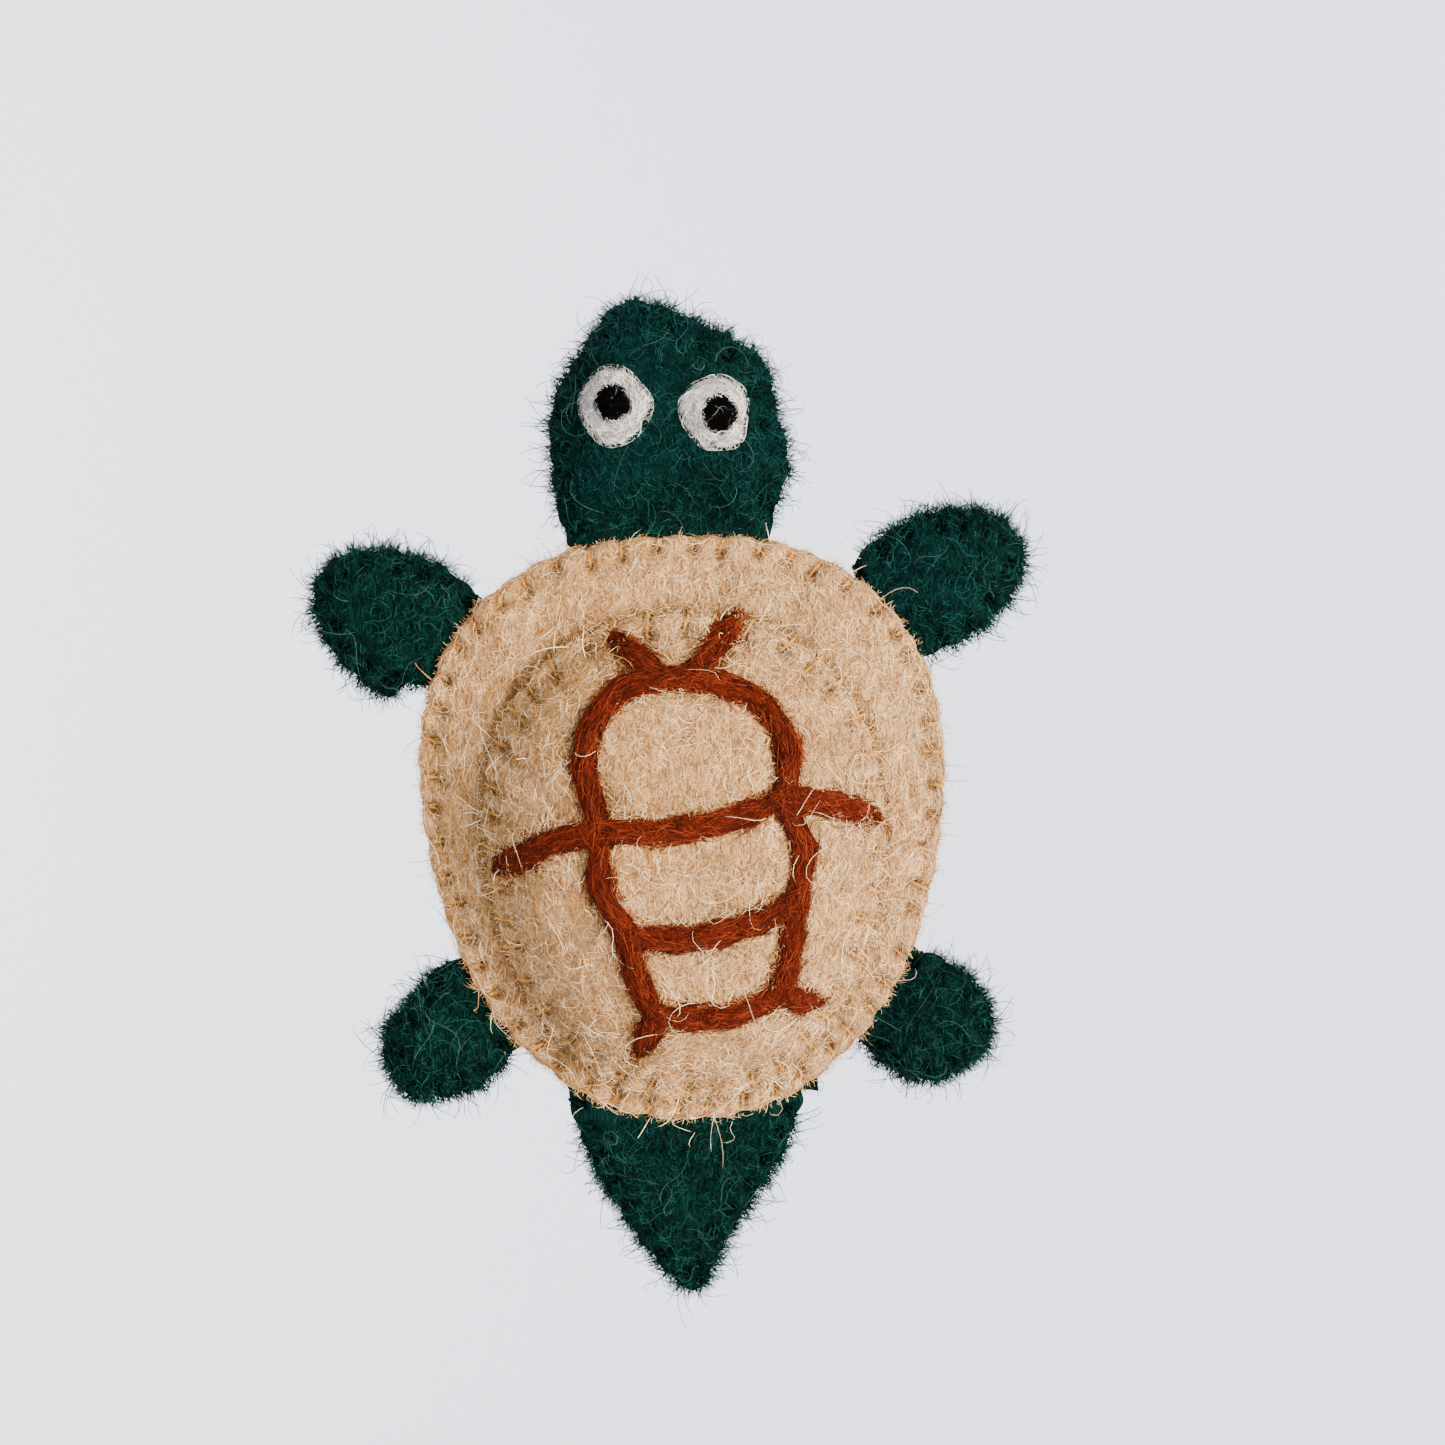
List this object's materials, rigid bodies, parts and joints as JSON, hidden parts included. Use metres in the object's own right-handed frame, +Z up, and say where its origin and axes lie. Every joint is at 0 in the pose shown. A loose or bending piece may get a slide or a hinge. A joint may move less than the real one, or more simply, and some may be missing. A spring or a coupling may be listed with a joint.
{
  "type": "hand puppet",
  "caption": "Turtle finger puppet of hand-sewn wool felt, with a stuffed domed shell, felted pattern lines and a finger pocket on the back",
  "frame": {"origin": "middle of the mouth of the finger pocket on the back, between the shell's back and the pocket's arch", "axes": "+Z up from tail to head as the puppet sits on an upright finger, -Y the front with the dome and eyes, +X to the viewer's right from the front"},
  "size_m": [0.0676, 0.031, 0.0953],
  "materials": {
    "tan_felt": "fuzzy sheep-coloured wool felt",
    "ochre_thread": "ochre cotton sewing thread",
    "brown_roving": "needle-felted wool roving",
    "green_felt": "fuzzy deep teal-green wool felt",
    "green_thread": "dark green sewing thread",
    "wool_filling": "loose wool stuffing",
    "white_roving": "needle-felted wool roving",
    "black_roving": "needle-felted wool roving"
  },
  "bodies": {
    "shell": {"shell_front": "tan_felt", "shell_back": "tan_felt", "shell_filling": "wool_filling", "shell_seam_thread": "ochre_thread", "dome_felt": "tan_felt", "dome_filling": "wool_filling", "dome_seam_thread": "ochre_thread", "roving_lines": "brown_roving", "finger_pocket": "green_felt", "pocket_thread": "green_thread"},
    "head": {"head_front": "green_felt", "head_back": "green_felt", "head_filling": "wool_filling", "head_seam_thread": "green_thread", "eye_white_left": "white_roving", "pupil_left": "black_roving", "eye_white_right": "white_roving", "pupil_right": "black_roving"},
    "tail": {"tail_front": "green_felt", "tail_back": "green_felt", "tail_thread": "green_thread"},
    "front_left_flipper": {"front_left_flipper_front": "green_felt", "front_left_flipper_back": "green_felt", "front_left_flipper_filling": "wool_filling", "front_left_flipper_thread": "green_thread"},
    "front_right_flipper": {"front_right_flipper_front": "green_felt", "front_right_flipper_back": "green_felt", "front_right_flipper_filling": "wool_filling", "front_right_flipper_thread": "green_thread"},
    "rear_left_flipper": {"rear_left_flipper_front": "green_felt", "rear_left_flipper_back": "green_felt", "rear_left_flipper_filling": "wool_filling", "rear_left_flipper_thread": "green_thread"},
    "rear_right_flipper": {"rear_right_flipper_front": "green_felt", "rear_right_flipper_back": "green_felt", "rear_right_flipper_filling": "wool_filling", "rear_right_flipper_thread": "green_thread"}
  },
  "joints": [
    {"name": "head_nod", "type": "hinge", "parent": "shell", "child": "head", "pos_m": [0, -0.009, 0.0555], "axis": [1, 0, 0], "range_deg": [-35, 45], "stiffness_Nm_per_rad": 0.006},
    {"name": "tail_flap", "type": "hinge", "parent": "shell", "child": "tail", "pos_m": [0, -0.009, -0.0039], "axis": [-1, 0, 0], "range_deg": [-50, 60], "stiffness_Nm_per_rad": 0.002},
    {"name": "front_left_flipper_flap", "type": "hinge", "parent": "shell", "child": "front_left_flipper", "pos_m": [-0.023, -0.009, 0.0456], "axis": [0.4258, 0, 0.9048], "range_deg": [-50, 50], "stiffness_Nm_per_rad": 0.002},
    {"name": "front_right_flipper_flap", "type": "hinge", "parent": "shell", "child": "front_right_flipper", "pos_m": [0.0219, -0.009, 0.04725], "axis": [0.525, 0, -0.8511], "range_deg": [-50, 50], "stiffness_Nm_per_rad": 0.002},
    {"name": "rear_left_flipper_flap", "type": "hinge", "parent": "shell", "child": "rear_left_flipper", "pos_m": [-0.0213, -0.009, 0.0083], "axis": [-0.507, 0, 0.862], "range_deg": [-50, 50], "stiffness_Nm_per_rad": 0.002},
    {"name": "rear_right_flipper_flap", "type": "hinge", "parent": "shell", "child": "rear_right_flipper", "pos_m": [0.02065, -0.009, 0.0079], "axis": [-0.6402, 0, -0.7682], "range_deg": [-50, 50], "stiffness_Nm_per_rad": 0.002}
  ]
}
